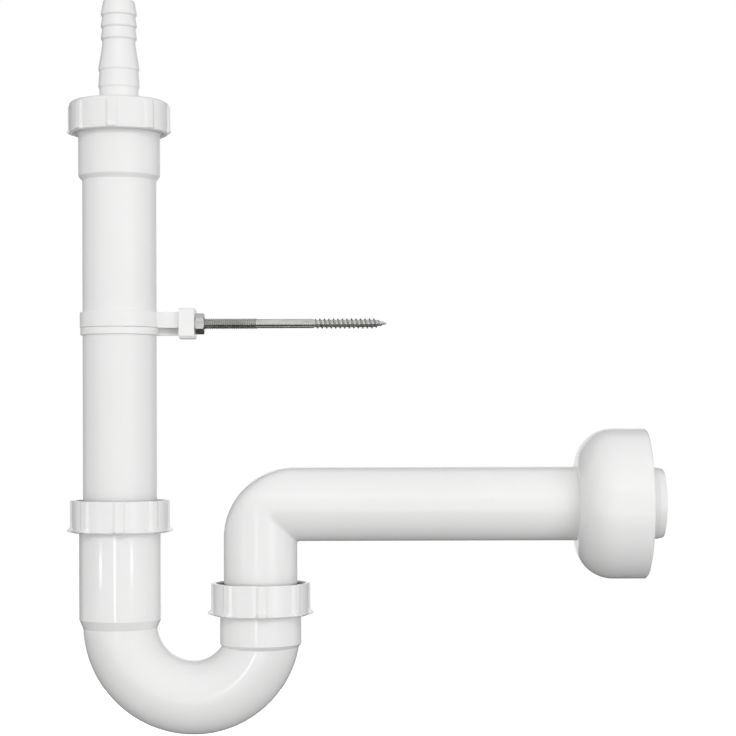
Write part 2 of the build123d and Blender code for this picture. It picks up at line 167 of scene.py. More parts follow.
class Shader(Graph):
    """Node graph of one material, with its surface shader and object coordinates at hand."""

    def __init__(self, name: str) -> None:
        """Starts a material.

        Args:
            name: Name of the material.
        """
        self.material = bpy.data.materials.new(name)
        super().__init__(self.material)
        self.surface = self.given("Principled BSDF")
        self.place = self.add("ShaderNodeTexCoord").outputs["Object"]

    def show(self, output: bpy.types.NodeSocket) -> None:
        """Makes a shader's output the look of the material."""
        self.link(output, self.given("Material Output"), "Surface")

    def noise(self, scale: float, detail: float = 2.0, stretch: Point = (1, 1, 1)) -> bpy.types.NodeSocket:
        """Adds a noise pattern on the piece.

        Args:
            scale: Features in a metre.
            detail: Octaves of finer noise.
            stretch: Share of the scale along each axis.

        Returns:
            The pattern's value, about 0.3 to 0.7.
        """
        mapping = self.add("ShaderNodeMapping", Scale=stretch)
        self.link(self.place, mapping, "Vector")
        pattern = self.add("ShaderNodeTexNoise", Scale=scale, Detail=detail)
        self.link(mapping.outputs["Vector"], pattern, "Vector")
        return pattern.outputs["Fac"]

    def ranged(self, value: bpy.types.NodeSocket, low: float, high: float) -> bpy.types.NodeSocket:
        """Spreads a noise pattern over a range.

        Args:
            value: The pattern.
            low: Result where the pattern is weak.
            high: Result where the pattern is strong.

        Returns:
            The spread value.
        """
        spread = self.add(
            "ShaderNodeMapRange", From_Min=NOISE_LOW, From_Max=NOISE_HIGH, To_Min=low, To_Max=high
        )
        self.link(value, spread, "Value")
        return spread.outputs["Result"]

    def tint(self, value: bpy.types.NodeSocket, dark: Colour, light: Colour) -> None:
        """Colours the surface between two shades by a noise pattern.

        Args:
            value: The pattern.
            dark: Shade where the pattern is weak.
            light: Shade where the pattern is strong.
        """
        ramp = self.add("ShaderNodeValToRGB")
        stops = ((NOISE_LOW, dark), (NOISE_HIGH, light))
        for element, (position, shade) in zip(ramp.color_ramp.elements, stops):
            element.position = position
            element.color = (*shade, 1.0)
        self.link(value, ramp, "Fac")
        self.link(ramp.outputs["Color"], self.surface, "Base Color")

    def relief(self, height: bpy.types.NodeSocket, depth: float, strength: float) -> None:
        """Raises the surface by a pattern.

        Args:
            height: The pattern.
            depth: Depth of the relief, in metres.
            strength: Strength of the relief.
        """
        bump = self.add("ShaderNodeBump", Strength=strength, Distance=depth)
        self.link(height, bump, "Height")
        self.link(bump.outputs["Normal"], self.surface, "Normal")


class Mix:
    """Base of the finishes, which makes the material of each."""

    def material(self, name: str) -> bpy.types.Material:
        """Makes a material.

        Args:
            name: Name of the material.

        Returns:
            The new material.
        """
        shader = Shader(name)
        self.paint(shader)
        return shader.material

    def paint(self, shader: Shader) -> None:
        """Gives a new material its surface."""
        raise NotImplementedError


@dataclass(frozen=True)
class WhitePlastic(Mix):
    """White polymer with a faint cloudiness and a fine skin.

    Attributes:
        colour: Lighter of its two shades.
        shade: Darker of its two shades.
        roughness: Least and greatest roughness.
        skin: Features of the skin in a metre.
        skin_stretch: Share of those features along each axis.
        skin_depth: Depth of the skin's relief, in metres.
        skin_detail: Octaves of finer noise in the skin.
        skin_strength: Strength of the skin's relief.
        cloud: Clouds in a metre.
        refraction: Index of refraction.
    """

    colour: Colour
    shade: Colour
    roughness: Pair
    skin: float
    skin_stretch: Point
    skin_depth: float
    skin_detail: float = 3.0
    skin_strength: float = 0.35
    cloud: float = 14.0
    refraction: float = 1.49

    def paint(self, shader: Shader) -> None:
        """Gives a new material the plastic's surface.

        Args:
            shader: Graph of the material.
        """
        shader.surface.inputs["IOR"].default_value = self.refraction
        shader.tint(shader.noise(self.cloud), self.shade, self.colour)
        skin = shader.noise(self.skin, self.skin_detail, self.skin_stretch)
        shader.link(shader.ranged(skin, *self.roughness), shader.surface, "Roughness")
        shader.relief(skin, self.skin_depth, self.skin_strength)


@dataclass(frozen=True)
class ZincPlate(Mix):
    """Bright zinc on steel, with the mottled grain of the plating.

    Attributes:
        light: Colour of the bright grains.
        dark: Colour of the dull grains.
        roughness: Least and greatest roughness.
        grain: Grains in a metre.
        grain_detail: Octaves of finer noise in the grain.
        grain_stretch: Share of the grains along each axis.
        pits: Fine pits in a metre.
        pit_depth: Depth of the pits, in metres.
        pit_strength: Strength of the pits' relief.
    """

    light: Colour
    dark: Colour
    roughness: Pair
    grain: float = 420.0
    grain_detail: float = 4.0
    grain_stretch: Point = (0.35, 1.0, 1.0)
    pits: float = 2600.0
    pit_depth: float = 0.00002
    pit_strength: float = 0.2

    def paint(self, shader: Shader) -> None:
        """Gives a new material the zinc's surface.

        Args:
            shader: Graph of the material.
        """
        shader.surface.inputs["Metallic"].default_value = 1.0
        grain = shader.noise(self.grain, self.grain_detail, self.grain_stretch)
        shader.tint(grain, self.dark, self.light)
        shader.link(shader.ranged(grain, *self.roughness), shader.surface, "Roughness")
        shader.relief(shader.noise(self.pits), self.pit_depth, self.pit_strength)


@dataclass(frozen=True)
class BlackRubber(Mix):
    """Soft black rubber of the seals.

    Attributes:
        light: Colour of its bloom.
        dark: Colour of the rubber itself.
        roughness: Least and greatest roughness.
        bloom: Patches of bloom in a metre.
        grain: Grains in a metre.
        grain_detail: Octaves of finer noise in the grain.
        grain_depth: Depth of the grain, in metres.
        grain_strength: Strength of the grain's relief.
    """

    light: Colour
    dark: Colour
    roughness: Pair = (0.55, 0.75)
    bloom: float = 120.0
    grain: float = 900.0
    grain_detail: float = 3.0
    grain_depth: float = 0.00004
    grain_strength: float = 0.4

    def paint(self, shader: Shader) -> None:
        """Gives a new material the rubber's surface.

        Args:
            shader: Graph of the material.
        """
        grain = shader.noise(self.grain, self.grain_detail)
        shader.tint(shader.noise(self.bloom), self.dark, self.light)
        shader.link(shader.ranged(grain, *self.roughness), shader.surface, "Roughness")
        shader.relief(grain, self.grain_depth, self.grain_strength)


MOULDED_WHITE = WhitePlastic(
    colour=(0.86, 0.86, 0.855),
    shade=(0.835, 0.835, 0.83),
    roughness=(0.13, 0.21),
    skin=700.0,
    skin_stretch=(1.0, 1.0, 1.0),
    skin_depth=0.00001,
)

FINISHES = {
    Finish.MOULDED: MOULDED_WHITE,
    Finish.POLISHED: replace(MOULDED_WHITE, roughness=(0.06, 0.10)),
    Finish.TUBE: WhitePlastic(
        colour=(0.86, 0.86, 0.855),
        shade=(0.84, 0.84, 0.835),
        roughness=(0.30, 0.42),
        skin=900.0,
        skin_stretch=(1.0, 1.0, 0.02),
        skin_depth=0.00001,
    ),
    Finish.CLIP: WhitePlastic(
        colour=(0.88, 0.88, 0.875),
        shade=(0.85, 0.85, 0.845),
        roughness=(0.28, 0.40),
        skin=1100.0,
        skin_stretch=(1.0, 1.0, 1.0),
        skin_depth=0.00002,
    ),
    Finish.RUBBER: BlackRubber(light=(0.035, 0.035, 0.035), dark=(0.018, 0.018, 0.018)),
    Finish.ZINC: ZincPlate(
        light=(0.62, 0.62, 0.61),
        dark=(0.46, 0.46, 0.45),
        roughness=(0.2, 0.34),
    ),
}


# Ways of making meshes


@dataclass(frozen=True)
class Corner:
    """Corner of a turned outline, in millimetres.

    Attributes:
        radius: Distance from the axis.
        height: Place along the axis.
        rounding: How far from the corner its rounding starts.
    """

    radius: float
    height: float
    rounding: float = 0.0


@dataclass(frozen=True)
class Extent:
    """Box of a node in the frame, in millimetres.

    Attributes:
        low: Lowest corner.
        high: Highest corner.
    """

    low: Vector
    high: Vector

    @classmethod
    def of(cls, node: str) -> "Extent":
        """Reads a node's box from the frame."""
        low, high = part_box(node)
        return cls(low / MM, high / MM)

    @property
    def centre(self) -> Vector:
        """Middle of the box."""
        return (self.low + self.high) / 2

    @property
    def size(self) -> Vector:
        """Length of the box along each axis."""
        return self.high - self.low

    @property
    def upright(self) -> Point:
        """Place of the box's upright axis, at no height."""
        return (self.centre.x, self.centre.y, 0.0)


def draw_outline(bm: BMesh, corners: Sequence[Corner]) -> None:
    """Draws a turned piece's closed outline as edges, and rounds its corners.

    Args:
        bm: Mesh that gets the outline.
        corners: Corners in order.
    """
    verts = [bm.verts.new((corner.radius, 0.0, corner.height)) for corner in corners]
    for pair in zip(verts, [*verts[1:], verts[0]]):
        bm.edges.new(pair)
    for vert, corner in zip(verts, corners):
        if corner.rounding:
            bmesh.ops.bevel(
                bm,
                geom=[vert],
                offset=corner.rounding,
                offset_type="OFFSET",
                segments=max(ROUND_SEGMENTS, ceil(corner.rounding / SEGMENT_LENGTH)),
                profile=0.5,
                affect="VERTICES",
                material=-1,
            )


def upright_edges(bm: BMesh, radius: float) -> list[BMEdge]:
    """Finds the edges of a drawn outline that run along the axis at a radius."""
    return [edge for edge in bm.edges if all(abs(vert.co.x - radius) < WALL_GAP for vert in edge.verts)]


def turn_outline(bm: BMesh, steps: int = TURN_STEPS) -> None:
    """Spins the drawn outline round the axis into a closed wall.

    Args:
        bm: Mesh that holds the outline.
        steps: Faces round the axis.
    """
    bmesh.ops.spin(
        bm,
        geom=bm.verts[:] + bm.edges[:],
        cent=(0, 0, 0),
        axis=(0, 0, 1),
        angle=FULL_TURN,
        steps=steps,
        use_merge=True,
    )


def turned(corners: Sequence[Corner]) -> BMesh:
    """Turns a closed outline.

    Args:
        corners: Corners of the outline in order.

    Returns:
        The turned mesh, in millimetres, about the Z axis.
    """
    bm = bmesh.new()
    draw_outline(bm, corners)
    turn_outline(bm)
    return bm


def eased(share: float) -> float:
    """Eases a share in and out, and keeps it between nothing and one."""
    held = min(max(share, 0.0), 1.0)
    return held * held * (3 - 2 * held)


def spread_radius(bm: BMesh, radius_at: Callable[[Vector, float], float]) -> None:
    """Moves each vertex to a new distance from the axis.

    Args:
        bm: Mesh about the Z axis.
        radius_at: Gives the new distance from a vertex's place and its distance.
    """
    for vert in bm.verts:
        radius = hypot(vert.co.x, vert.co.y)
        if radius > MERGE_GAP:
            share = radius_at(vert.co, radius) / radius
            vert.co.x *= share
            vert.co.y *= share


def object_of(bm: BMesh, name: str) -> bpy.types.Object:
    """Makes an object in the scene.

    Args:
        bm: Its mesh, which is used up.
        name: Name of the object.

    Returns:
        The new object.
    """
    mesh = bpy.data.meshes.new(name)
    bm.to_mesh(mesh)
    bm.free()
    made = bpy.data.objects.new(name, mesh)
    bpy.context.scene.collection.objects.link(made)
    return made


def flat_card(name: str, placing: Matrix, size: Pair) -> bpy.types.Object:
    """Makes a flat rectangle.

    Args:
        name: Name of the card.
        placing: Where its middle is and how it is turned.
        size: Width and height.

    Returns:
        The card.
    """
    bm = bmesh.new()
    # A grid's size is half of its side.
    bmesh.ops.create_grid(bm, x_segments=1, y_segments=1, size=0.5)
    bm.transform(placing @ Matrix.Diagonal((*size, 1.0, 1.0)))
    return object_of(bm, name)


class SubAssembly:
    """Base of the sub-assemblies, which puts their meshes in place in the frame and dresses them."""

    materials: dict[Finish, bpy.types.Material] = {}

    @classmethod
    def mix_finishes(cls) -> None:
        """Makes the materials once for all sub-assemblies."""
        cls.materials = {finish: mix.material(finish.label) for finish, mix in FINISHES.items()}

    def build(self) -> None:
        """Builds the sub-assembly's pieces."""
        raise NotImplementedError

    def put(
        self,
        bm: BMesh,
        name: str,
        axis_at: Point,
        body: Body,
        finish: Finish,
        replaced: Sequence[str] = (),
        direction: Direction = Direction.UP,
    ) -> None:
        """Makes a piece of a mesh that was modelled about the Z axis.

        Args:
            bm: Mesh in millimetres, which is used up.
            name: Name of the piece.
            axis_at: Place of the mesh's origin in the frame, in millimetres.
            body: Body that it rides on.
            finish: Finish that it gets.
            replaced: Nodes that it stands for.
            direction: Way that its axis points.
        """
        bmesh.ops.remove_doubles(bm, verts=bm.verts[:], dist=MERGE_GAP)
        bmesh.ops.recalc_face_normals(bm, faces=bm.faces[:])
        turn = Vector(Direction.UP.value).rotation_difference(Vector(direction.value)).to_matrix().to_4x4()
        bm.transform(Matrix.Scale(MM, 4) @ Matrix.Translation(axis_at) @ turn)
        piece = object_of(bm, name)
        piece.data.shade_smooth()
        piece.data.set_sharp_from_angle(angle=SHARP_ANGLE)
        piece.data.materials.append(self.materials[finish])
        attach(piece, body.value)
        if replaced:
            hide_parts(*replaced)
        LOG.info("%s: %d faces on %s", name, len(piece.data.polygons), body.value)

    def dress(self, node: str, finish: Finish) -> None:
        """Gives a node of the frame its finish.

        Args:
            node: Name of the node.
            finish: Finish that it gets.
        """
        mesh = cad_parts[node].data
        mesh.materials.clear()
        mesh.materials.append(self.materials[finish])
        LOG.info("%s: dressed as %s", node, finish.label)

    def soften(self, node: str, width: float) -> None:
        """Rounds the edges of a node of the frame.

        Args:
            node: Name of the node.
            width: Width of the rounding, in millimetres.
        """
        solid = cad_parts[node]
        solid.modifiers.new("joined", "WELD").merge_threshold = MERGE_GAP * MM
        flats = solid.modifiers.new("flats", "DECIMATE")
        flats.decimate_type = "DISSOLVE"
        flats.angle_limit = FLAT_ANGLE
        rounding = solid.modifiers.new("rounding", "BEVEL")
        rounding.width = width * MM
        rounding.segments = ROUND_SEGMENTS
        rounding.limit_method = "ANGLE"
        rounding.angle_limit = SHARP_ANGLE
        solid.modifiers.new("shading", "WEIGHTED_NORMAL")


@dataclass(frozen=True)
class PipeThread:
    """Helical ridge of a union thread, in millimetres.

    Attributes:
        pitch: Climb of one turn.
        height: Height over the core.
        foot: Width where it stands on the core.
        crest: Width at its crest.
        sink: How deep its foot lies in the core.
        margin: Plain core beyond each end of the ridge.
        end_height: Share of its height that the ridge has at its ends.
        steps: Faces in one turn.
    """

    pitch: float = 2.309
    height: float = 1.2
    foot: float = 1.9
    crest: float = 0.7
    sink: float = 0.15
    margin: float = 0.5
    end_height: float = 0.7
    steps: int = 96

    def ridge(self, core: float, bottom: float, top: float) -> BMesh:
        """Winds the ridge on a core, with a run-out at each end.

        Args:
            core: Radius of the core.
            bottom: Lower end of the threaded stretch.
            top: Upper end of the threaded stretch.

        Returns:
            The ridge as a closed mesh about the Z axis.
        """
        bm = bmesh.new()
        start = bottom + self.margin + self.foot / 2
        turns = (top - self.margin - self.foot / 2 - start) / self.pitch
        inner = core - self.sink
        outer = core + self.height
        section = [(inner, -self.foot), (outer, -self.crest), (outer, self.crest), (inner, self.foot)]
        verts = [bm.verts.new((radius, 0.0, start + width / 2)) for radius, width in section]
        face = bm.faces.new(verts)
        bmesh.ops.spin(
            bm,
            geom=[face, *face.edges, *face.verts],
            cent=(0, 0, 0),
            axis=(0, 0, 1),
            dvec=(0, 0, self.pitch / self.steps),
            angle=FULL_TURN * turns,
            steps=round(self.steps * turns),
        )
        ends = (start, start + turns * self.pitch)

        def run_out(place: Vector, radius: float) -> float:
            """Lowers the ridge towards its ends."""
            share = min(place.z - ends[0], ends[1] - place.z) / self.pitch + self.end_height
            return min(radius, core + self.height * max(share, 0.0))

        spread_radius(bm, run_out)
        return bm


# Sub-assemblies


@dataclass(frozen=True)
class Barbs:
    """Row of hose barbs, in millimetres.

    Attributes:
        root: Radius between the barbs.
        crest: Radius of a barb's crest.
        pitch: Distance from barb to barb.
        count: Number of barbs.
        face: Height of a barb's steep face.
        soft: Rounding of the edges.
    """

    root: float
    crest: float
    pitch: float
    count: int
    face: float = 0.9
    soft: float = 0.35

    @property
    def rise(self) -> float:
        """Height from the lowest barb's foot to the highest barb's crest."""
        return (self.count - 1) * self.pitch + self.face

    def corners(self, foot: float) -> list[Corner]:
        """Draws the barbs going up.

        Args:
            foot: Height of the lowest barb's foot.

        Returns:
            Corners of the barbs' outline.
        """
        corners = []
        for index in range(self.count):
            start = foot + index * self.pitch
            corners.append(Corner(self.root, start, self.soft))
            corners.append(Corner(self.crest, start + self.face, self.soft))
        return corners


@dataclass
class HoseNozzle(SubAssembly):
    """Stepped hose tail on a flange that its union nut clamps to the bell, in millimetres.

    Attributes:
        wall: Thickness of the collar in the bell.
        collar: Height of the collar under the flange.
        flange: Thickness of the flange.
        socket_play: How far the collar is set back from the flange's edge.
        bore: Radius of the water's way.
        neck: Radius and height of the plain neck over the flange.
        lower_barbs: Wider barbs.
        step: Height of the cone between the two sizes, and of the land over it.
        upper_barbs: Narrower barbs.
        tip: Radius of the top.
        soft: Rounding of the flange, the collar and the bore.
        neck_soft: Rounding where the neck meets the flange.
        step_soft: Rounding over the cone between the two sizes.
        tip_soft: Rounding of the top's outer edge.
    """

    wall: float = 1.9
    collar: float = 6.5
    flange: float = 1.6
    socket_play: float = 2.5
    bore: float = 6.8
    neck: Pair = (10.5, 9.1)
    lower_barbs: Barbs = Barbs(root=10.6, crest=11.2, pitch=9.4, count=2)
    step: Pair = (13.5, 2.4)
    upper_barbs: Barbs = Barbs(root=9.0, crest=9.85, pitch=6.5, count=3)
    tip: float = 8.5
    soft: float = 0.35
    neck_soft: float = 0.7
    step_soft: float = 2.0
    tip_soft: float = 1.2

    def build(self) -> None:
        """Turns the nozzle in place of its solid, and dresses its gasket."""
        extent = Extent.of("hose_nozzle")
        flange_r = extent.size.x / 2
        collar_r = flange_r - self.socket_play
        flange_z = extent.low.z + self.collar
        seat_z = flange_z + self.flange
        lower_z = seat_z + self.neck[1]
        step_z = lower_z + self.lower_barbs.rise + self.step[0]
        outline = [
            Corner(self.bore, flange_z, self.soft),
            Corner(collar_r - self.wall, flange_z, self.soft),
            Corner(collar_r - self.wall, extent.low.z, self.soft),
            Corner(collar_r, extent.low.z, self.soft),
            Corner(collar_r, flange_z),
            Corner(flange_r, flange_z, self.soft),
            Corner(flange_r, seat_z, self.soft),
            Corner(self.neck[0], seat_z, self.neck_soft),
            *self.lower_barbs.corners(lower_z),
            Corner(self.upper_barbs.root, step_z, self.step_soft),
            *self.upper_barbs.corners(step_z + self.step[1]),
            Corner(self.tip, extent.high.z, self.tip_soft),
            Corner(self.bore, extent.high.z, self.soft),
        ]
        tail = turned(outline)
        self.put(tail, "hose_nozzle_tail", extent.upright, Body.NOZZLE, Finish.MOULDED, ["hose_nozzle"])
        self.dress("nozzle_gasket", Finish.RUBBER)


@dataclass
class UnionNut(SubAssembly):
    """Union nut with shallow grip panels between full-height ribs on flared feet, in millimetres.

    Attributes:
        node: Node that it stands for.
        body: Body that it rides on.
        wall: Thickness of the skirt.
        lip: How far the ribs' feet stand out.
        cap: Thickness of the cap.
        edge: Rounding of the cap's edge.
        hole: Radius of the cap's hole.
        recess: Radius and depth of the recess round the hole, which bares the seal's black lip as painted
            shade, or nothing.
        mouth_depth: Height of the cone inside the mouth.
        turn: Degrees that a rib is turned from the front.
        bore: Radius of the threaded bore.
        ribs: Number of ribs.
        rib_width: Width of a rib.
        panel_depth: Depth of a panel.
        slope: Width of the slope between a rib and a panel.
        lip_undercut: Height and depth of the slope under a foot.
        lip_face: Height of a foot's blunt face.
        lip_height: Height of a foot with its upper slope.
        lip_tip: Rounding of a foot's face.
        lip_soft: Rounding where a foot meets its rib.
        mouth_rim: Width of the flat rim round the mouth.
        soft: Rounding of the other edges.
        rows: Rows of faces up the wall.
        steps_per_rib: Faces round the nut from rib to rib.
    """

    node: str
    body: Body
    wall: float
    lip: float
    cap: float
    edge: float
    hole: float
    recess: Pair | None
    mouth_depth: float
    turn: float
    bore: float = 24.1
    ribs: int = 8
    rib_width: float = 5.4
    panel_depth: float = 0.9
    slope: float = 2.0
    lip_undercut: float = 0.9
    lip_face: float = 0.8
    lip_height: float = 2.9
    lip_tip: float = 0.35
    lip_soft: float = 0.6
    mouth_rim: float = 0.6
    soft: float = 0.2
    rows: int = 36
    steps_per_rib: int = 60

    def build(self) -> None:
        """Turns the nut and presses its panels in."""
        extent = Extent.of(self.node)
        outer = self.bore + self.wall
        foot = outer - self.lip_undercut
        bottom = extent.low.z
        top = extent.high.z
        floor = top
        recess = []
        if self.recess:
            floor -= self.recess[1]
            recess = [Corner(self.recess[0], top, self.soft), Corner(self.recess[0], floor)]
        bm = bmesh.new()
        draw_outline(
            bm,
            [
                Corner(self.bore, bottom + self.mouth_depth, self.soft),
                Corner(foot - self.mouth_rim, bottom, self.soft),
                Corner(foot, bottom, self.soft),
                Corner(outer + self.lip, bottom + self.lip_undercut, self.lip_tip),
                Corner(outer + self.lip, bottom + self.lip_undercut + self.lip_face, self.lip_tip),
                Corner(outer, bottom + self.lip_height, self.lip_soft),
                Corner(outer, top, self.edge),
                *recess,
                Corner(self.hole, floor, self.soft),
                Corner(self.hole, top - self.cap),
                Corner(self.bore, top - self.cap, self.soft),
            ],
        )
        bmesh.ops.subdivide_edges(bm, edges=upright_edges(bm, outer), cuts=self.rows)
        turn_outline(bm, self.ribs * self.steps_per_rib)
        self.press_panels(bm, outer, bottom + self.lip_height)
        self.put(bm, f"{self.node}_ribbed", extent.upright, self.body, Finish.MOULDED, [self.node])

    def press_panels(self, bm: BMesh, outer: float, feet: float) -> None:
        """Presses the panels between the ribs into the skirt, and the lip with its undercut back with them.

        Args:
            bm: Mesh of the turned nut.
            outer: Radius of the ribs.
            feet: Upper end of the ribs' feet.
        """
        panel = outer - self.panel_depth
        pitch = FULL_TURN / self.ribs
        first_rib = radians(self.turn) - QUARTER_TURN

        def pressed(place: Vector, radius: float) -> float:
            """Moves a point of the skirt inwards, the more the further it is from a rib.

            Args:
                place: The point.
                radius: Its distance from the axis.

            Returns:
                Its new distance from the axis.
            """
            if radius < self.bore + WALL_GAP:
                return radius
            below_feet = place.z < feet
            target = min(radius, outer) - self.panel_depth if below_feet else min(radius, panel)
            angle = (atan2(place.y, place.x) - first_rib) % pitch
            beside = min(angle, pitch - angle) * outer - self.rib_width / 2
            return radius - (radius - target) * eased(beside / self.slope + 0.5)

        spread_radius(bm, pressed)


@dataclass
class SocketSeal(SubAssembly):
    """Rubber seal of a compression socket, with a lip spread wide in the nut's mouth so that its black
    rubber paints the shade there, in millimetres.

    Attributes:
        node: Node that it stands for.
        body: Body that it rides on.
        rise: How far the lip stands over the socket's rim.
        flange: Thickness of the flange that the nut presses.
        bore: Radius of the pipe's hole.
        wedge: Radius of the wedge at the socket's rim.
        neck: Radius of the neck in the nut's hole.
        brim: Radius of the lip, spread wide so that its black rubber paints the shade in the nut's mouth.
        brim_rise: Height of the lip's underside over the rim.
        brim_edge: Thickness of the lip at its edge.
        soft: Rounding of the edges.
    """

    node: str
    body: Body
    rise: float = 4.1
    flange: float = 2.0
    bore: float = 20.08
    wedge: float = 21.45
    neck: float = 22.48
    brim: float = 24.0
    brim_rise: float = 3.05
    brim_edge: float = 0.5
    soft: float = 0.12

    def build(self) -> None:
        """Turns the seal in place of its solid."""
        extent = Extent.of(self.node)
        rim = extent.high.z - self.rise
        flange_r = extent.size.x / 2
        outline = [
            Corner(self.bore, extent.low.z),
            Corner(self.wedge, rim),
            Corner(flange_r, rim, self.soft),
            Corner(flange_r, rim + self.flange, self.soft),
            Corner(self.neck, rim + self.flange),
            Corner(self.neck, rim + self.brim_rise),
            # The lip's wide black rim is painted shade: a dark sheet where the nut's mouth would only be in
            # shadow.
            Corner(self.brim, rim + self.brim_rise, self.soft),
            Corner(self.brim, rim + self.brim_rise + self.brim_edge, self.soft),
            Corner(self.bore, extent.high.z, self.soft),
        ]
        self.put(turned(outline), f"{self.node}_lip", extent.upright, self.body, Finish.RUBBER, [self.node])


@dataclass
class InletTube(SubAssembly):
    """Extruded inlet tube with a threaded bell for the nozzle, in millimetres.

    Attributes:
        wall: Thickness of the tube.
        thread_step: How far the thread's core stands over the bell.
        bell_step: How far the bell stands over the tube.
        bell_length: Length of the bell.
        bell_cone: Height of the cone under the bell.
        bell_wall: Thickness of the bell, core included.
        shoulder: Height of the tube's end inside the bell over its cone.
        thread_length: Length of the threaded neck.
        thread: Thread on the neck.
        soft: Rounding of the edges.
    """

    wall: float = 1.9
    thread_step: float = 0.4
    bell_step: float = 2.1
    bell_length: float = 35.4
    bell_cone: float = 2.4
    bell_wall: float = 2.2
    shoulder: float = 2.0
    thread_length: float = 12.5
    thread: PipeThread = PipeThread()
    soft: float = 0.5

    def build(self) -> None:
        """Turns the tube and winds the thread on its bell."""
        extent = Extent.of("inlet_tube")
        core = extent.size.x / 2
        bell = core - self.thread_step
        tube = bell - self.bell_step
        rim = extent.high.z
        end = extent.low.z
        neck = rim - self.thread_length
        bell_z = rim - self.bell_length
        bell_bore = core - self.bell_wall
        outline = [
            Corner(tube - self.wall, end, self.soft),
            Corner(tube, end, self.soft),
            Corner(tube, bell_z - self.bell_cone, self.soft),
            Corner(bell, bell_z, self.soft),
            Corner(bell, neck),
            Corner(core, neck),
            Corner(core, rim, self.soft),
            Corner(bell_bore, rim, self.soft),
            Corner(bell_bore, bell_z + self.shoulder),
            Corner(tube - self.wall, bell_z + self.shoulder, self.soft),
        ]
        place = extent.upright
        self.put(turned(outline), "inlet_tube_bell", place, Body.INLET, Finish.TUBE, ["inlet_tube"])
        self.put(self.thread.ridge(core, neck, rim), "bell_thread", place, Body.INLET, Finish.TUBE)


@dataclass
class TrapBend(SubAssembly):
    """U-bend with two threaded compression sockets, in millimetres.

    Attributes:
        core: Radius of the sockets' thread cores.
        thread_length: Length of a socket's threaded neck.
        seal_rise: How far a seal's lip stands over its socket's rim.
        thread: Thread on the necks.
    """

    core: float = 22.5
    thread_length: float = 12.5
    seal_rise: float = 4.1
    thread: PipeThread = PipeThread()

    def build(self) -> None:
        """Dresses the bend and winds the threads on its sockets."""
        self.dress("trap_bend", Finish.POLISHED)
        for side in ("inlet", "outlet"):
            place = Extent.of(f"{side}_nut").upright
            rim = Extent.of(f"{side}_seal").high.z - self.seal_rise
            ridge = self.thread.ridge(self.core, rim - self.thread_length, rim)
            self.put(ridge, f"{side}_socket_thread", place, Body.TRAP, Finish.MOULDED)


@dataclass
class Outlet(SubAssembly):
    """Outlet elbow, whose mitred corner softens towards its heel, and the wall rosette, in millimetres.

    Attributes:
        wall: Thickness of the pipe.
        crease: Radius of the inner corner.
        heel: Radius of the heel.
        softening: Power with which the corner's radius grows from the crease to the heel.
        corner_reach: Length of each leg that the corner takes up.
        corner_rows: Rows of faces through the corner.
        spigot_step: How far the spigot is set back from the pipe.
        spigot_length: Length of the spigot.
        taper: Length and depth of the taper at the spigot's end.
        edge: Rounding of the ends.
    """

    wall: float = 1.9
    crease: float = 1.2
    heel: float = 38.4
    softening: float = 3.0
    corner_reach: float = 24.0
    corner_rows: int = 71
    spigot_step: float = 0.6
    spigot_length: float = 33.5
    taper: Pair = (3.5, 0.9)
    edge: float = 0.4

    def bent(self, place: Vector, radius: float) -> Vector:
        """Moves a point of the straight pipe to its place on the elbow.

        Args:
            place: Point of the pipe, along Z with the corner at the origin and the inner side at +X.
            radius: Outer radius of the pipe.

        Returns:
            The point with the leg along -Z and the pipe along +X.
        """
        inward, along = place.x, place.z
        if along <= -self.corner_reach:
            return place
        if along >= self.corner_reach:
            return Vector((along, place.y, -inward))
        skin = hypot(place.x, place.y)
        outward = (skin - inward) / (2 * skin)
        heel = self.heel - radius + skin
        bend = self.crease + (heel - self.crease) * outward**self.softening
        straight = self.corner_reach - inward - bend
        half = self.corner_reach / 2
        if along < -half:
            climb = straight * (along + self.corner_reach) / half
            return Vector((inward, place.y, climb - self.corner_reach))
        if along > half:
            back = straight * (self.corner_reach - along) / half
            return Vector((self.corner_reach - back, place.y, -inward))
        angle = (along + half) / self.corner_reach * QUARTER_TURN
        return Vector((inward + bend * (1 - cos(angle)), place.y, -inward - bend * (1 - sin(angle))))

    def build(self) -> None:
        """Turns the elbow as a straight pipe, bends its corner, and dresses the rosette."""
        extent = Extent.of("outlet_elbow")
        outer = extent.high.z
        bore = outer - self.wall
        axis_x = extent.low.x + outer
        end = extent.high.x - axis_x
        spigot = outer - self.spigot_step
        spigot_z = end - self.spigot_length
        bm = bmesh.new()
        draw_outline(
            bm,
            [
                Corner(bore, extent.low.z, self.edge),
                Corner(outer, extent.low.z, self.edge),
                Corner(outer, -self.corner_reach),
                Corner(outer, self.corner_reach),
                Corner(outer, spigot_z - self.spigot_step, self.edge),
                Corner(spigot, spigot_z, self.edge),
                Corner(spigot, end - self.taper[0], self.edge),
                Corner(spigot - self.taper[1], end, self.edge),
                Corner(bore, end, self.edge),
                Corner(bore, self.corner_reach),
                Corner(bore, -self.corner_reach),
            ],
        )
        for radius in (outer, bore):
            corner = [
                edge
                for edge in upright_edges(bm, radius)
                if all(abs(vert.co.z) < self.corner_reach + WALL_GAP for vert in edge.verts)
            ]
            bmesh.ops.subdivide_edges(bm, edges=corner, cuts=self.corner_rows)
        turn_outline(bm)
        for vert in bm.verts:
            vert.co = self.bent(vert.co, outer)
        self.put(bm, "outlet_elbow_pipe", (axis_x, 0.0, 0.0), Body.OUTLET, Finish.MOULDED, ["outlet_elbow"])
        self.dress("rosette", Finish.MOULDED)


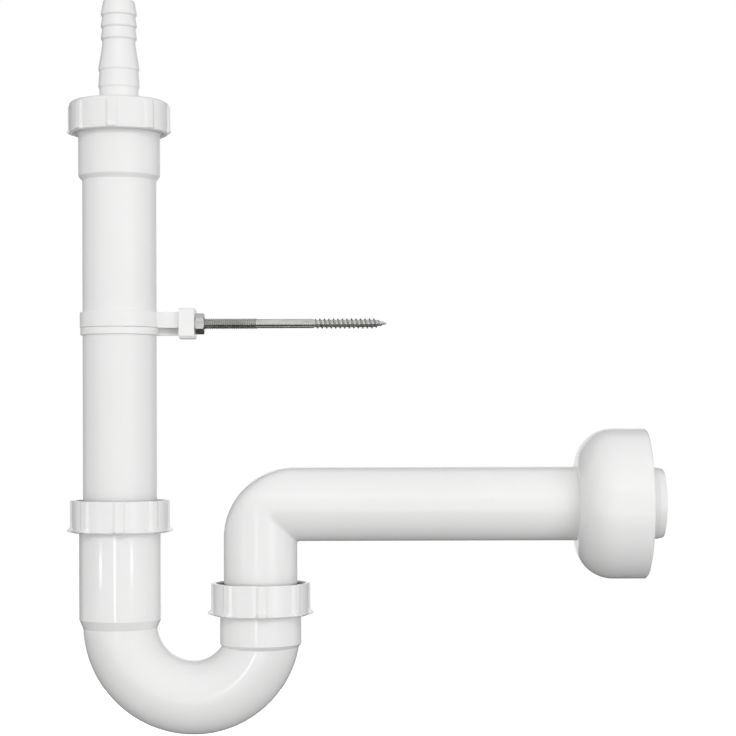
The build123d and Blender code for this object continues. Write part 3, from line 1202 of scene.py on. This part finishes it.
@dataclass
class PipeClip(SubAssembly):
    """Split clip round the inlet tube with its collar and nuts, in millimetres.

    Attributes:
        edge: Rounding of the mouldings' edges.
        nut_edge: Rounding of the nuts' edges.
    """

    edge: float = 0.4
    nut_edge: float = 0.15

    def build(self) -> None:
        """Dresses the clip's pieces and rounds their edges."""
        for node in ("clip_band", "clip_collar"):
            self.dress(node, Finish.CLIP)
            self.soften(node, self.edge)
        for node in ("captive_nut", "lock_nut"):
            self.dress(node, Finish.ZINC)
            self.soften(node, self.nut_edge)


@dataclass
class HangerBolt(SubAssembly):
    """Hanger bolt with a machine thread, a plain shank and a wood thread, in millimetres.

    Attributes:
        machine_length: Length of the machine thread.
        machine_pitch: Pitch of the machine thread.
        machine_depth: Depth of the machine thread.
        machine_crest: Shares of its pitch where the crest starts and ends.
        shank_length: Length of the plain shank.
        shank: Radius of the plain shank.
        wood_radius: Radius of the wood thread's crest.
        wood_pitch: Pitch of the wood thread.
        wood_depth: Depth of the wood thread.
        wood_crest: Shares of its pitch where the flank, the crest and the back start.
        tip_length: Length of the pointed tip.
        tip: Radius of the point.
        run_out: Length of the cone between a thread and the shank.
        steps: Faces round the bolt.
    """

    machine_length: float = 37.3
    machine_pitch: float = 1.0
    machine_depth: float = 0.6
    machine_crest: Pair = (0.44, 0.56)
    shank_length: float = 31.5
    shank: float = 2.5
    wood_radius: float = 2.9
    wood_pitch: float = 2.45
    wood_depth: float = 0.85
    wood_crest: tuple[float, float, float] = (0.52, 0.74, 0.80)
    tip_length: float = 6.5
    tip: float = 0.4
    run_out: float = 0.8
    steps: int = 36

    def screw(self, bm: BMesh, ring: Sequence[Pair], pitch: float, span: Pair) -> None:
        """Winds one pitch of a thread's outline into a skin, and trims it square at both ends.

        Args:
            bm: Mesh that gets the skin.
            ring: Radius and height of each corner over one pitch.
            pitch: Climb of one turn.
            span: Lower and upper end of the skin.
        """
        start = span[0] - pitch
        turns = round((span[1] - start) / pitch) + 1
        verts = [bm.verts.new((radius, 0.0, start + height)) for radius, height in ring]
        edges = [bm.edges.new(pair) for pair in zip(verts, verts[1:])]
        bmesh.ops.spin(
            bm,
            geom=verts + edges,
            cent=(0, 0, 0),
            axis=(0, 0, 1),
            dvec=(0, 0, pitch / self.steps),
            angle=FULL_TURN * turns,
            steps=self.steps * turns,
        )
        bmesh.ops.remove_doubles(bm, verts=bm.verts[:], dist=MERGE_GAP)
        for height, way in ((span[0], -1.0), (span[1], 1.0)):
            bmesh.ops.bisect_plane(
                bm,
                geom=bm.verts[:] + bm.edges[:] + bm.faces[:],
                dist=MERGE_GAP,
                plane_co=(0, 0, height),
                plane_no=(0, 0, way),
                clear_outer=True,
            )

    def rim(self, bm: BMesh, height: float) -> list[BMEdge]:
        """Finds the open edges at a height.

        Args:
            bm: Mesh of the bolt.
            height: Place along the axis.

        Returns:
            The edges.
        """
        return [
            edge
            for edge in bm.edges
            if edge.is_boundary and all(abs(vert.co.z - height) < WALL_GAP for vert in edge.verts)
        ]

    def build(self) -> None:
        """Winds both threads, joins them by the shank and closes the ends."""
        extent = Extent.of("hanger_bolt")
        crest = extent.size.z / 2
        length = extent.size.x
        shank_z = self.machine_length
        wood_z = shank_z + self.shank_length
        root = crest - self.machine_depth
        wood_root = self.wood_radius - self.wood_depth
        machine_ring = [
            (root, 0.0),
            *((crest, share * self.machine_pitch) for share in self.machine_crest),
            (root, self.machine_pitch),
        ]
        flank, crest_start, crest_end = (share * self.wood_pitch for share in self.wood_crest)
        wood_ring = [
            (wood_root, 0.0),
            (wood_root, flank),
            (self.wood_radius, crest_start),
            (self.wood_radius, crest_end),
            (wood_root, self.wood_pitch),
        ]
        bm = bmesh.new()
        self.screw(bm, machine_ring, self.machine_pitch, (0.0, shank_z))
        wood = bmesh.new()
        self.screw(wood, wood_ring, self.wood_pitch, (wood_z, length))
        self.point(wood, wood_z, length)
        joined = bpy.data.meshes.new("wood_thread")
        wood.to_mesh(joined)
        wood.free()
        bm.from_mesh(joined)
        bpy.data.meshes.remove(joined)
        self.join_shank(bm, shank_z, wood_z)
        for height in (0.0, length):
            bmesh.ops.holes_fill(bm, edges=self.rim(bm, height), sides=0)
        place = (extent.low.x, extent.centre.y, extent.centre.z)
        name = "hanger_bolt_threaded"
        self.put(bm, name, place, Body.BOLT, Finish.ZINC, ["hanger_bolt"], Direction.TO_WALL)

    def point(self, bm: BMesh, start: float, end: float) -> None:
        """Tapers the wood thread to its point, and lets it rise out of the shank.

        Args:
            bm: Mesh of the wood thread.
            start: Height where the thread begins.
            end: Height of the point.
        """

        def tapered(place: Vector, radius: float) -> float:
            """Draws a point of the thread in towards the tip and towards the shank.

            Args:
                place: The point.
                radius: Its distance from the axis.

            Returns:
                Its new distance from the axis.
            """
            to_end = min((end - place.z) / self.tip_length, 1.0)
            from_start = min((place.z - start) / self.wood_pitch, 1.0)
            thread = self.shank + (radius - self.shank) * from_start if radius > self.shank else radius
            return self.tip + (thread - self.tip) * to_end

        spread_radius(bm, tapered)

    def join_shank(self, bm: BMesh, start: float, end: float) -> None:
        """Bridges the two threads by the plain shank.

        Args:
            bm: Mesh of both threads.
            start: Height where the machine thread ends.
            end: Height where the wood thread begins.
        """
        for rim_z, shank_z in ((start, start + self.run_out), (end, end - self.run_out)):
            rim = self.rim(bm, rim_z)
            place = Matrix.Translation((0, 0, shank_z))
            circle = bmesh.ops.create_circle(bm, segments=self.steps, radius=self.shank, matrix=place)
            ring = {edge for vert in circle["verts"] for edge in vert.link_edges}
            bmesh.ops.bridge_loops(bm, edges=[*rim, *ring])
        rings = [edge for z in (start + self.run_out, end - self.run_out) for edge in self.rim(bm, z)]
        bmesh.ops.bridge_loops(bm, edges=rings)


# Studio


@dataclass(frozen=True)
class Lamp:
    """Soft rectangular light or dark card round the trap, in metres.

    Attributes:
        name: Name of the lamp.
        place: Where its middle is.
        aim: Point that it faces.
        size: Width and height.
    """

    name: str
    place: Point
    aim: Point
    size: Pair

    def build(self) -> None:
        """Puts the lamp up."""
        raise NotImplementedError

    def turned_to_aim(self) -> Matrix:
        """Gives the placing that turns a flat thing's back away from its aim."""
        turn = (Vector(self.aim) - Vector(self.place)).to_track_quat("-Z", "Y")
        return Matrix.Translation(self.place) @ turn.to_matrix().to_4x4()


@dataclass(frozen=True)
class Softbox(Lamp):
    """Area light that either lights the surfaces or shows as a glint on them.

    Attributes:
        power: Power in watts.
        glint: Whether it shows as a glint only.
    """

    power: float
    glint: bool = False

    def build(self) -> None:
        """Hangs the light."""
        light = bpy.data.lights.new(self.name, "AREA")
        light.shape = "RECTANGLE"
        light.size, light.size_y = self.size
        light.energy = self.power
        lamp = bpy.data.objects.new(self.name, light)
        lamp.matrix_world = self.turned_to_aim()
        lamp.visible_camera = False
        lamp.visible_diffuse = not self.glint
        lamp.visible_glossy = self.glint
        bpy.context.scene.collection.objects.link(lamp)


@dataclass(frozen=True)
class Flag(Lamp):
    """Dark card that only reflections see, which draws the edges of white things on white.

    Attributes:
        shade: Brightness of the card.
    """

    shade: float

    def build(self) -> None:
        """Stands the card up."""
        card = flat_card(self.name, self.turned_to_aim(), self.size)
        for rays in ("camera", "diffuse", "transmission", "shadow", "volume_scatter"):
            setattr(card, f"visible_{rays}", False)
        shader = Shader(self.name)
        shader.show(shader.add("ShaderNodeEmission", Strength=self.shade).outputs["Emission"])
        card.data.materials.append(shader.material)


@dataclass
class Studio:
    """White studio with soft light, in metres.

    Attributes:
        eye: Place of the camera.
        lens: Focal length of the camera in millimetres.
        shift: Rise of the picture over the camera's axis, as a share of its width.
        roll: Degrees that the picture is turned.
        floor_z: Height of the floor.
        floor_size: Length of the floor's side.
        floor_tone: Colour of the floor's surface.
        floor_roughness: Roughness of the floor.
        floor_glow: Light that the floor gives by itself.
        floor_share: Share of the floor's look that its glow takes over.
        sky: Strength of the light from above.
        ground: Strength of the light from below.
        lamps: Lights and dark cards round the trap.
    """

    eye: Point = (-0.1505, -1.07, 0.041)
    lens: float = 96.3
    shift: float = 0.0822
    roll: float = 0.15
    floor_z: float = -0.42
    floor_size: float = 12.0
    floor_tone: Colour = (0.9, 0.9, 0.9)
    floor_roughness: float = 0.9
    floor_glow: float = 0.88
    floor_share: float = 0.75
    sky: float = 0.62
    ground: float = 0.38
    lamps: tuple[Lamp, ...] = (
        Softbox("right_key", (1.39, -1.84, 0.1), MIDDLE, (1.2, 1.2), 19.0),
        Softbox("left_key", (-1.99, -1.54, 0.1), MIDDLE, (1.2, 1.2), 9.3),
        Softbox("top_key", (-0.15, -2.2, 1.2), MIDDLE, (1.2, 0.35), 13.0),
        Softbox("back_key", (-0.15, 2.4, 0.1), MIDDLE, (1.2, 1.2), 26.0),
        Softbox("strip", (-0.58, -1.98, -0.18), (-0.25, 0.0, -0.05), (0.2, 0.2), 0.6, glint=True),
        Softbox("low_glint", (0.06, -1.95, -0.52), (-0.15, 0.0, -0.05), (0.32, 0.4), 1.2, glint=True),
        Softbox("left_glint", (-1.75, -1.25, -0.166), (-0.285, 0.0, -0.03), (0.3, 0.03), 0.26, glint=True),
        Softbox("right_glint", (0.98, -1.56, -0.166), (-0.285, 0.0, -0.03), (0.3, 0.03), 0.26, glint=True),
        Flag("left_flag", (-1.3, 1.4, 0.3), MIDDLE, (1.6, 3.0), 0.15),
        Flag("right_flag", (1.0, 1.4, 0.3), MIDDLE, (1.6, 3.0), 0.2),
        Flag("low_flag", (-0.15, 0.6, -0.38), (-0.15, 0.6, 0.0), (4.0, 3.2), 0.05),
        Flag("high_flag", (-0.15, 1.6, 1.3), MIDDLE, (4.0, 1.2), 0.3),
    )

    def build(self) -> None:
        """Sets up the camera, the lights, the surroundings and the floor."""
        self.set_camera()
        self.set_world()
        self.lay_floor()
        for lamp in self.lamps:
            lamp.build()

    def set_camera(self) -> None:
        """Places the camera at the photograph's viewpoint."""
        camera = bpy.data.cameras.new("camera")
        camera.lens = self.lens
        camera.shift_y = self.shift
        eye = bpy.data.objects.new("camera", camera)
        eye.location = self.eye
        eye.rotation_euler = (QUARTER_TURN, radians(self.roll), 0.0)
        bpy.context.scene.collection.objects.link(eye)
        bpy.context.scene.camera = eye

    def seen_white(self, graph: Graph) -> bpy.types.NodeSocket:
        """Tells the rays that see the white background from those that light the trap.

        Args:
            graph: Node graph that asks.

        Returns:
            One for camera, glossy and transmission rays, else zero.
        """
        ray = graph.add("ShaderNodeLightPath")
        seen = ray.outputs["Is Camera Ray"]
        for kind in ("Is Glossy Ray", "Is Transmission Ray"):
            either = graph.add("ShaderNodeMath")
            either.operation = "MAXIMUM"
            graph.link(seen, either, 0)
            graph.link(ray.outputs[kind], either, 1)
            seen = either.outputs["Value"]
        return seen

    def set_world(self) -> None:
        """Makes the surroundings white to look at, and a soft sky to the surfaces."""
        world = bpy.data.worlds.new("studio")
        bpy.context.scene.world = world
        graph = Graph(world)
        sky = graph.given("Background")
        sky.inputs["Color"].default_value = WHITE
        direction = graph.add("ShaderNodeTexCoord")
        split = graph.add("ShaderNodeSeparateXYZ")
        graph.link(direction.outputs["Generated"], split, "Vector")
        height = graph.add("ShaderNodeMapRange", From_Min=-1.0, To_Min=self.ground, To_Max=self.sky)
        graph.link(split.outputs["Z"], height, "Value")
        graph.link(height.outputs["Result"], sky, "Strength")
        white = graph.add("ShaderNodeBackground", Color=WHITE)
        mix = graph.add("ShaderNodeMixShader")
        graph.link(self.seen_white(graph), mix, "Fac")
        graph.link(sky.outputs["Background"], mix, 1)
        graph.link(white.outputs["Background"], mix, 2)
        graph.link(mix.outputs["Shader"], graph.given("World Output"), "Surface")

    def lay_floor(self) -> None:
        """Lays the pale floor, which keeps the trap's soft shadow."""
        place = Matrix.Translation((0.0, 0.0, self.floor_z))
        floor = flat_card("floor", place, (self.floor_size, self.floor_size))
        floor.visible_diffuse = False
        shader = Shader("pale_floor")
        shader.surface.inputs["Roughness"].default_value = self.floor_roughness
        shader.surface.inputs["Base Color"].default_value = (*self.floor_tone, 1.0)
        glow = shader.add("ShaderNodeEmission", Strength=self.floor_glow)
        both = shader.add("ShaderNodeAddShader")
        dim = shader.add("ShaderNodeMixShader", Fac=self.floor_share)
        shader.link(shader.surface.outputs["BSDF"], dim, 1)
        shader.link(dim.outputs["Shader"], both, 0)
        shader.link(glow.outputs["Emission"], both, 1)
        shader.show(both.outputs["Shader"])
        floor.data.materials.append(shader.material)


def main() -> None:
    """Builds the trap's sub-assemblies and the studio."""
    logging.basicConfig(level=logging.INFO, format="%(message)s")
    bpy.context.scene.view_settings.view_transform = "Standard"
    SubAssembly.mix_finishes()
    top_nut = UnionNut(
        "nozzle_nut",
        Body.NOZZLE_NUT,
        wall=3.6,
        lip=0.5,
        cap=2.0,
        edge=4.0,
        hole=12.0,
        recess=None,
        mouth_depth=9.0,
        turn=-1.5,
    )
    outlet_nut = UnionNut(
        "outlet_nut",
        Body.OUTLET_NUT,
        wall=2.8,
        lip=1.85,
        cap=2.5,
        edge=0.8,
        hole=22.63,
        # The recess bares the seal's wide black lip, which paints the shade in the nut's mouth.
        recess=(24.2, 1.5),
        mouth_depth=3.0,
        turn=4.8,
    )
    inlet_nut = replace(outlet_nut, node="inlet_nut", body=Body.INLET_NUT, turn=5.6)
    parts = [
        HoseNozzle(),
        top_nut,
        InletTube(),
        inlet_nut,
        SocketSeal("inlet_seal", Body.INLET_SEAL),
        TrapBend(),
        outlet_nut,
        SocketSeal("outlet_seal", Body.OUTLET_SEAL),
        Outlet(),
        PipeClip(),
        HangerBolt(),
    ]
    for part in parts:
        part.build()
    Studio().build()


if __name__ == "__main__":
    main()
